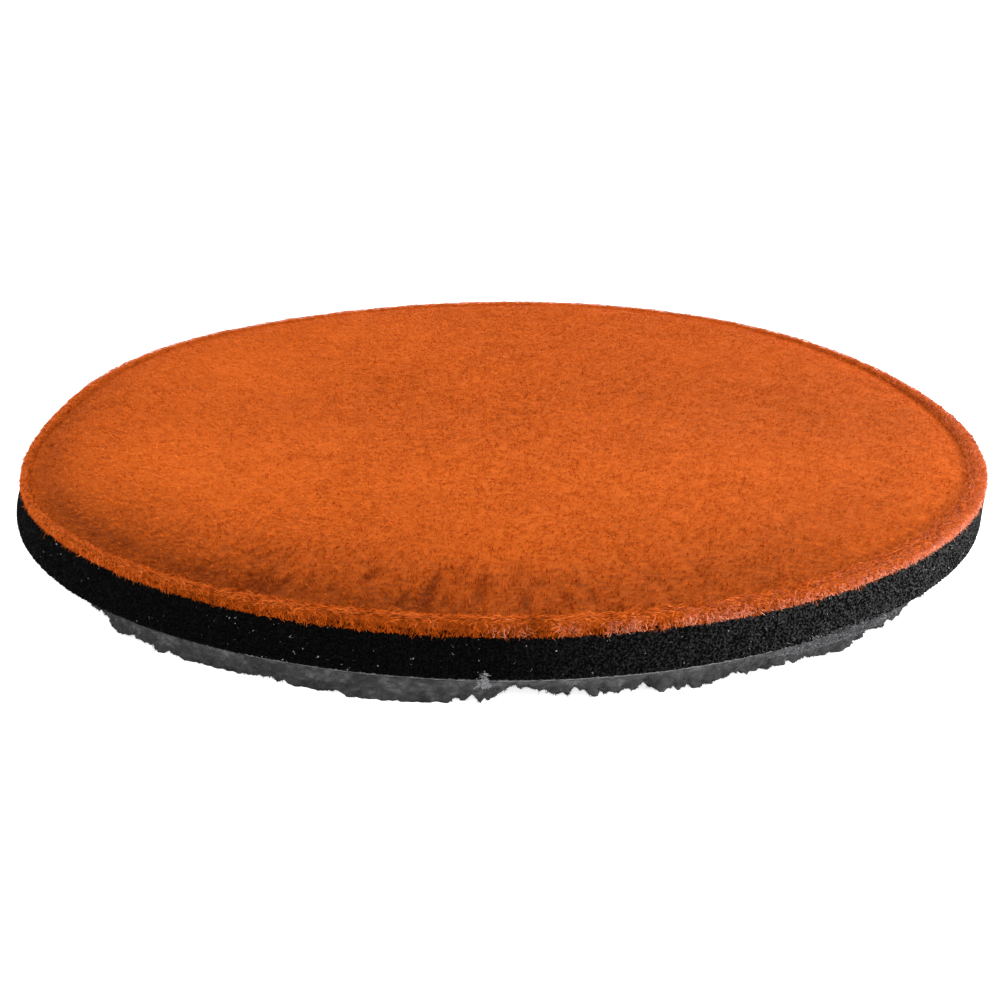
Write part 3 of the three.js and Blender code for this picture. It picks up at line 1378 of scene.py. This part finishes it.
    def ground_cloth(self) -> bpy.types.Object:
        """The knit under the pile, with its stitches ridged along the cut edge.

        Returns:
            The mesh object.
        """
        angle = evenly(self.cloth_spokes)
        ragged = Grain(1.4 * MM, 41, 3).on_circle(self.cloth.radius, angle)
        inset = 1.5 * MM * (1.0 - self.shape.wear(angle)) + 0.1 * MM
        edge = self.cloth.radius - inset + stitches(angle, self.cloth_wales) + 0.06 * MM * ragged
        side = ring_points(edge, angle, self.cloth.heights(STITCH_ROWS))
        rings = capped(side, 0.5 * self.cloth.radius, self.cloth)
        return mesh_object("velvet_ground_cloth_edge", *turned_shell(rings))

    def build(self) -> None:
        """Builds and dresses the face."""
        self.shape.simulate()
        cloth = ride(self.ground_cloth(), SALMON_KNIT.material())
        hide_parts(self.cloth.node)
        bed = ride(self.bed(), PACKED_FEET.material())
        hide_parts(self.pile.node)
        finish = ORANGE_PILE.material()
        pile = self.standing_pile()
        angle = np.arctan2(pile.roots[:, 1], pile.roots[:, 0]) % TURN
        sector = np.minimum((angle / TURN * self.sectors).astype(int), self.sectors - 1)
        for i in range(self.sectors):
            part = pile.picked(sector == i).piece(f"velvet_pile_{i + 1:02d}")
            ride(part, finish)
        rim = self.rim()
        front = rim.roots[:, 1] < 0.0
        ride(rim.picked(front).piece("velvet_rim_front"), finish)
        ride(rim.picked(~front).piece("velvet_rim_back"), finish)
        fuzz = self.pale_fuzz().piece("ground_cloth_fuzz")
        ride(fuzz, BROKEN_KNIT.material())


# ---------------------------------------------------------------------------------------------
# The foam core and its bond films
# ---------------------------------------------------------------------------------------------


@dataclass
class FoamDisc:
    """The black foam core, with the cells that the cutting die opened along its side."""

    core: Layer
    spokes: int = 2300
    rows: int = 40
    cell: float = 0.5 * MM
    cell_depth: float = 0.2 * MM
    chamfer: float = 0.25 * MM
    undercut: float = 0.2 * MM

    def cells(self, angle: np.ndarray, z: np.ndarray) -> np.ndarray:
        """How deep the cut cells are.

        Args:
            angle: Angles round the side, in radians.
            z: Heights above the foam's lowest point.

        Returns:
            0 on a cell wall to 1 in the middle of a cell.
        """
        around = int(TURN * self.core.radius / self.cell)
        levels = int((self.core.top - self.core.bottom) / self.cell) + 3
        rng = np.random.default_rng(404)
        shift_u = rng.random((around, levels))
        shift_v = rng.random((around, levels))
        u = angle / TURN * around
        v = z / self.cell + 1.0
        cell_u, cell_v = np.floor(u).astype(int), np.floor(v).astype(int)
        nearest = np.full(u.shape, 9.0)
        second = np.full(u.shape, 9.0)
        for du in (-1, 0, 1):
            for dv in (-1, 0, 1):
                i = (cell_u + du) % around
                j = np.clip(cell_v + dv, 0, levels - 1)
                away = np.hypot(cell_u + du + shift_u[i, j] - u, cell_v + dv + shift_v[i, j] - v)
                second = np.minimum(np.maximum(nearest, away), second)
                nearest = np.minimum(nearest, away)
        return ease(second - nearest, 0.04, 0.5)

    def body(self) -> bpy.types.Object:
        """The foam disc, with its pitted side.

        Returns:
            The mesh object.
        """
        tall = self.core.top - self.core.bottom
        a, z = np.meshgrid(evenly(self.spokes), np.linspace(0.0, tall, self.rows))
        depth = self.cell_depth * self.cells(a, z)
        wander = 0.12 * MM * Grain(11 * MM, 51, 2).on_circle(self.core.radius, a, z)
        near_edge = np.minimum(z, tall - z)
        rounding = self.chamfer * (1.0 - np.sqrt(np.clip(near_edge / self.chamfer, 0.0, 1.0))) ** 2
        radius = self.core.radius - depth + wander - rounding - self.undercut * (1.0 - z / tall)
        wall = ring_points(radius, a, self.core.bottom + z)
        rings = capped(wall, self.core.radius - 2.5 * MM, self.core)
        return mesh_object("foam_disc", *turned_shell(rings))

    def build(self) -> None:
        """Builds and dresses the foam."""
        foam = ride(self.body(), BLACK_FOAM.material())
        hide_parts(self.core.node)


@dataclass
class BondFilm:
    """A thin skin of melted foam, a little uneven where it was squeezed out at the edge."""

    layer: Layer
    name: str
    inset: Callable[[np.ndarray], np.ndarray]
    spokes: int = 900

    def build(self) -> None:
        """Builds and dresses the film."""
        angle = evenly(self.spokes)
        lift = np.array([0.0, 0.5, 1.0])[:, None]
        ragged = Grain(0.8 * MM, 61, 3).on_circle(self.layer.radius, angle)
        bulge = 0.06 * MM * np.sin(lift * math.pi)
        radius = self.layer.radius - self.inset(angle) + 0.05 * MM * ragged + bulge
        side = ring_points(radius, angle, self.layer.heights(lift))
        film = smooth(mesh_object(self.name, *turned_shell(side)))
        ride(film, BOND_SKIN.material())
        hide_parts(self.layer.node)


# ---------------------------------------------------------------------------------------------
# The loop backing
# ---------------------------------------------------------------------------------------------


@dataclass
class LoopBacking:
    """The grey backing: a knit that carries a brushed nap, torn ragged along its edge."""

    knit: Layer
    nap: Layer
    foam: Layer
    spokes: int = 1800
    tuft_count: int = 170
    fuzz_count: int = 36000
    pale_tuft: int = 260
    torn_patch: int = 2600
    knit_spokes: int = 1200
    knit_wales: int = 330

    def hem(self, angle: np.ndarray) -> np.ndarray:
        """How far down the nap's torn edge hangs: 0 is the knit and 1 is the floor.

        Args:
            angle: Angles from +X, in radians.

        Returns:
            The hang at each angle, at most 1.
        """
        rng = np.random.default_rng(505)
        centres = rng.uniform(0.0, TURN, self.tuft_count)
        widths = rng.gamma(3.0, 0.7 * MM, self.tuft_count) / self.nap.radius + 0.008
        drops = rng.uniform(0.0, 0.34, self.tuft_count)
        x, y = self.nap.radius * np.cos(angle), self.nap.radius * np.sin(angle)
        hang = with_humps(
            0.1 + 0.06 * Grain(8 * MM, 81, 2).at(x, y),
            angle,
            (0.2, Side.BACK, 120),
            (0.92, Side.FRONT - 32, 20),
            (-0.25, Side.FRONT - 54, 14),
            (0.9, Side.FRONT - 11, 17),
            (0.56, Side.FRONT + 14, 18),
            (0.55, Side.FRONT + 36, 21),
        )
        tufts = np.zeros(angle.shape)
        for centre, width, drop in zip(centres, widths, drops, strict=True):
            away = np.abs((angle - centre + math.pi) % TURN - math.pi) / width
            tufts = np.maximum(tufts, drop * np.clip(1.15 - away**1.6, 0.0, 1.0))
        jagged = 0.28 * Grain(0.9 * MM, 82, 3).at(x, y)
        return np.clip(hang + tufts + jagged, 0.04, 1.0)

    def skirt(self, angle: np.ndarray, t: np.ndarray) -> tuple[np.ndarray, np.ndarray]:
        """The nap's outer surface.

        Args:
            angle: Angles from +X.
            t: 0 at the torn lower edge to 1 at the knit.

        Returns:
            The radius and the height.
        """
        hang = self.hem(angle)
        z = self.nap.top - (self.nap.top - self.nap.bottom) * hang * (1.0 - t)
        flare = 1.0 - t
        tuck = with_humps(
            0.7 * MM * flare**2 * (1.2 - hang),
            angle,
            (-0.9 * MM * flare, Side.FRONT - 12, 14),
            (-0.6 * MM * flare, Side.FRONT - 37, 14),
        )
        radius = self.knit.radius - 0.15 * MM - tuck
        coarse = Grain(2.2 * MM, 83, 3).on_circle(radius, angle, z)
        lumps = 0.45 * coarse + 0.3 * Grain(0.7 * MM, 84, 2).on_circle(radius, angle, z)
        radius = radius + MM * lumps * (0.4 + 0.6 * (1.0 - t))
        return np.minimum(radius, self.foam.radius - 0.5 * MM), z

    def body(self) -> bpy.types.Object:
        """The matted nap: a lumpy disc with a torn skirt, resting on its lowest tufts.

        Returns:
            The mesh object.
        """
        angle = evenly(self.spokes)
        skirt = [self.skirt(angle, np.full_like(angle, t)) for t in np.linspace(1.0, 0.0, 15)]
        rows = [ring_points(radius, angle, z) for radius, z in skirt]
        edge, lowest = np.hypot(rows[-1][:, 0], rows[-1][:, 1]), rows[-1][:, 2]
        for step in np.linspace(0.012, 0.97, 34):
            radius = edge * (1.0 - step)
            resting = 0.3 * MM * (1.0 + Grain(1.7 * MM, 85, 3).on_circle(radius, angle))
            blend = ease(np.full_like(edge, step), 0.0, 0.07)
            z = np.maximum(lowest * (1.0 - blend) + resting * blend, self.nap.bottom)
            rows.append(ring_points(radius, angle, z))
        cap = ring_points(0.5 * self.nap.radius, angle, self.nap.top)

        def shade(x: np.ndarray, y: np.ndarray, z: np.ndarray) -> np.ndarray:
            """Blotched, and paler towards the knit, as painted light, darker below as painted shade."""
            lit = ease(z, self.nap.bottom + 0.8 * MM, self.nap.top)
            return 0.35 + 0.3 * lit + 0.55 * Grain(1.6 * MM, 87, 3).at(x, y, z)

        return packed_body("loop_nap_body", np.stack(rows[::-1] + [cap]), shade)

    def clear(self, points: np.ndarray) -> np.ndarray:
        """Lifts points clear of the floor, in place, and returns them."""
        points[:, 2] = np.maximum(points[:, 2], self.nap.bottom + 0.02 * MM)
        return points

    def fuzz(self) -> Fibres:
        """Loose fibres that stand out of the skirt and hang from its tufts.

        Returns:
            The fibres.
        """
        rng = np.random.default_rng(606)
        count = self.fuzz_count
        angle, t = rng.uniform(0.0, TURN, count), rng.beta(0.8, 1.3, count)
        radius, z = self.skirt(angle, t)
        roots = ring_points(radius - 0.05 * MM, angle, z)
        heading = angle + rng.normal(0.0, 1.2, count)
        length = rng.gamma(5.0, 0.045 * MM, count)
        droop = rng.normal(0.3, 0.8, count)
        tips = roots + ring_points(0.7 * length * np.cos(droop), heading, -length * np.sin(droop))
        knees = 0.5 * (roots + self.clear(tips)) + rng.normal(0.0, 0.1 * MM, roots.shape)
        widths = 0.11 * MM * rng.uniform(0.6, 1.4, count)
        # Painted light and shade: paler towards the knit, darker towards the torn edge.
        shades = np.clip(0.3 + 0.3 * t + rng.normal(0.0, 0.15, count), 0.0, 1.0)
        return Fibres(roots, self.clear(knees), tips, widths, shades, rng.uniform(-1.5, 1.5, count))

    def clinging(self) -> Fibres:
        """Torn nap that clings to the foot of the foam: one pale tuft in front, a patch at the right.

        Returns:
            The fibres.
        """
        rng = np.random.default_rng(707)
        count = self.pale_tuft + self.torn_patch
        pale = np.arange(count) < self.pale_tuft
        middle = np.where(pale, Side.FRONT - 1.2, Side.FRONT + 35.0)
        spread = np.where(pale, 0.25, 3.0)
        angle = np.radians(middle + spread * rng.normal(0.0, 1.0, count))
        climb = np.abs(rng.normal(0.0, 1.0, count)) * np.where(pale, 0.7 * MM, 0.55 * MM)
        z = self.foam.bottom - 0.6 * MM + climb
        roots = ring_points(self.foam.radius - 0.05 * MM + 0.1 * MM * rng.random(count), angle, z)
        curl = rng.normal(0.0, 0.17 * MM, roots.shape)
        curl[:, 2] *= 0.7
        tips = roots + curl
        knees = 0.5 * (roots + tips) + rng.normal(0.0, 0.14 * MM, roots.shape)
        # The pale tuft in front is pale; the patch at the right is painted paler, as painted light where the
        # side light falls.
        shades = np.clip(np.where(pale, 0.95, 0.5) + rng.normal(0.0, 0.15, count), 0.0, 1.0)
        widths = 0.08 * MM * rng.uniform(0.6, 1.3, count)
        return Fibres(roots, knees, tips, widths, shades, rng.uniform(-1.5, 1.5, count), LONG_BLADE)

    def knit_disc(self) -> bpy.types.Object:
        """The knit that holds the nap, with its stitches ridged along the cut edge.

        Returns:
            The mesh object.
        """
        angle = evenly(self.knit_spokes)
        edge = self.knit.radius - 0.08 * MM + stitches(angle, self.knit_wales)
        edge = edge + 0.12 * MM * Grain(2.5 * MM, 86, 2).on_circle(edge, angle)
        side = ring_points(edge, angle, self.knit.heights(STITCH_ROWS))
        return mesh_object("loop_knit_disc", *turned_shell(side))

    def build(self) -> None:
        """Builds and dresses the backing."""
        knit = ride(self.knit_disc(), GREY_KNIT.material())
        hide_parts(self.knit.node)
        body = ride(self.body(), MATTED_NAP.material())
        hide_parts(self.nap.node)
        fuzz = ride(self.fuzz().piece("loop_nap_fuzz"), LOOP_FIBRES.material())
        torn = self.clinging().piece("loop_nap_clinging")
        pieces = [body, fuzz, ride(torn, TORN_FIBRES.material())]


# ---------------------------------------------------------------------------------------------
# Studio
# ---------------------------------------------------------------------------------------------


@dataclass
class Studio:
    """A pale floor, a soft sky that is brighter behind the pad, softboxes and the camera."""

    aim_height: float
    distance: float = 223.9 * MM
    elevation: float = math.radians(19.03)
    turn: float = math.radians(0.25)
    roll: float = math.radians(0.27)
    aim_ahead: float = 27.6 * MM
    lens_mm: float = 58.5
    sensor_mm: float = 36.0
    bright_side: tuple[float, float, float] = (0.42, 0.85, 0.32)
    sky_front: float = 1.35
    sky_back: float = 1.95
    glow: float = 0.75

    def camera(self) -> None:
        """Sets up the camera, aimed a little in front of the pad's middle."""
        data = bpy.data.cameras.new("camera")
        data.lens = self.lens_mm
        data.sensor_width = self.sensor_mm
        data.clip_start = 0.005
        camera = bpy.data.objects.new("camera", data)
        bpy.context.scene.collection.objects.link(camera)
        middle = Vector((0.0, 0.0, self.aim_height))
        place = middle + self.distance * Vector(
            (
                math.sin(self.turn) * math.cos(self.elevation),
                -math.cos(self.turn) * math.cos(self.elevation),
                math.sin(self.elevation),
            )
        )
        aim = middle - Vector((0.0, self.aim_ahead, 0.0))
        level = (aim - place).to_track_quat("-Z", "Y").to_matrix().to_4x4()
        camera.matrix_world = Matrix.Translation(place) @ level @ Matrix.Rotation(self.roll, 4, "Z")
        bpy.context.scene.camera = camera

    def softbox(self, name: str, place: Sequence[float], size: Sequence[float], watts: float) -> None:
        """Adds an area light that faces the pad.

        Args:
            name: The light's name.
            place: Where it stands, in metres.
            size: Its width and height, in metres.
            watts: Its power.
        """
        data = bpy.data.lights.new(name, "AREA")
        data.shape = "RECTANGLE"
        data.size, data.size_y = size
        data.energy = watts
        light = bpy.data.objects.new(name, data)
        bpy.context.scene.collection.objects.link(light)
        light.location = Vector(place)
        light.rotation_euler = (Vector((0.0, 0.0, 0.01)) - Vector(place)).to_track_quat("-Z", "Y").to_euler()

    def floor(self) -> None:
        """Lays the plain pale floor."""
        reach = 6.0
        corners = np.array([[-reach, -reach, 0], [reach, -reach, 0], [reach, reach, 0], [-reach, reach, 0]])
        floor = mesh_object("floor", corners.astype(float), [np.array([[0, 1, 2, 3]])])
        floor.data.materials.append(OpalTable("Opal acrylic light table, matte", self.glow).material())

    def sky(self) -> None:
        """Lights the scene all round, brighter from behind on the right than from in front."""
        world = bpy.data.worlds.new("studio sky")
        bpy.context.scene.world = world
        world.use_nodes = True
        tree = world.node_tree
        tree.nodes.clear()
        direction = add_node(tree, "TexCoord", out="Generated")
        facing = {0: direction, 1: self.bright_side}
        brightness = add_node(tree, "VectorMath", facing, "Value", operation="DOT_PRODUCT")
        span = {"From Min": -0.8, "To Min": self.sky_front, "To Max": self.sky_back}
        level = add_node(tree, "MapRange", {"Value": brightness, **span})
        background = add_node(tree, "Background", {"Color": grey(1.0), "Strength": level})
        add_node(tree, "OutputWorld", {"Surface": background})

    def build(self) -> None:
        """Builds the studio."""
        scene = bpy.context.scene
        scene.view_settings.view_transform = "Standard"
        scene.view_settings.look = "None"
        self.camera()
        self.floor()
        self.sky()
        self.softbox("key softbox", (0.3, 0.38, 0.3), (0.35, 0.3), 2.5)
        self.softbox("side softbox", (0.5, -0.14, 0.06), (0.25, 0.1), 4.0)


def main() -> None:
    """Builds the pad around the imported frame, and the studio it lies in."""
    logging.basicConfig(level=logging.INFO, format="%(name)s %(message)s")
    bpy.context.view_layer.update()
    foam = Layer.of("foam_core")
    cloth = Layer.of("velvet_ground_cloth")
    pile = Layer.of("velvet_pile")
    face = VelvetFace(FaceShape(foam.top, pile.radius), Nap(), cloth, pile)
    face.build()
    FoamDisc(foam).build()
    face_film, backing_film = Layer.of("face_bond_film"), Layer.of("backing_bond_film")
    BondFilm(face_film, "face_bond_line", lambda angle: MM * (1.8 - 1.6 * face.shape.wear(angle))).build()
    BondFilm(backing_film, "backing_bond_line", lambda angle: np.full_like(angle, 0.1 * MM)).build()
    LoopBacking(Layer.of("loop_base_knit"), Layer.of("loop_pile"), foam).build()
    Studio(foam.top).build()


if __name__ == "__main__":
    main()
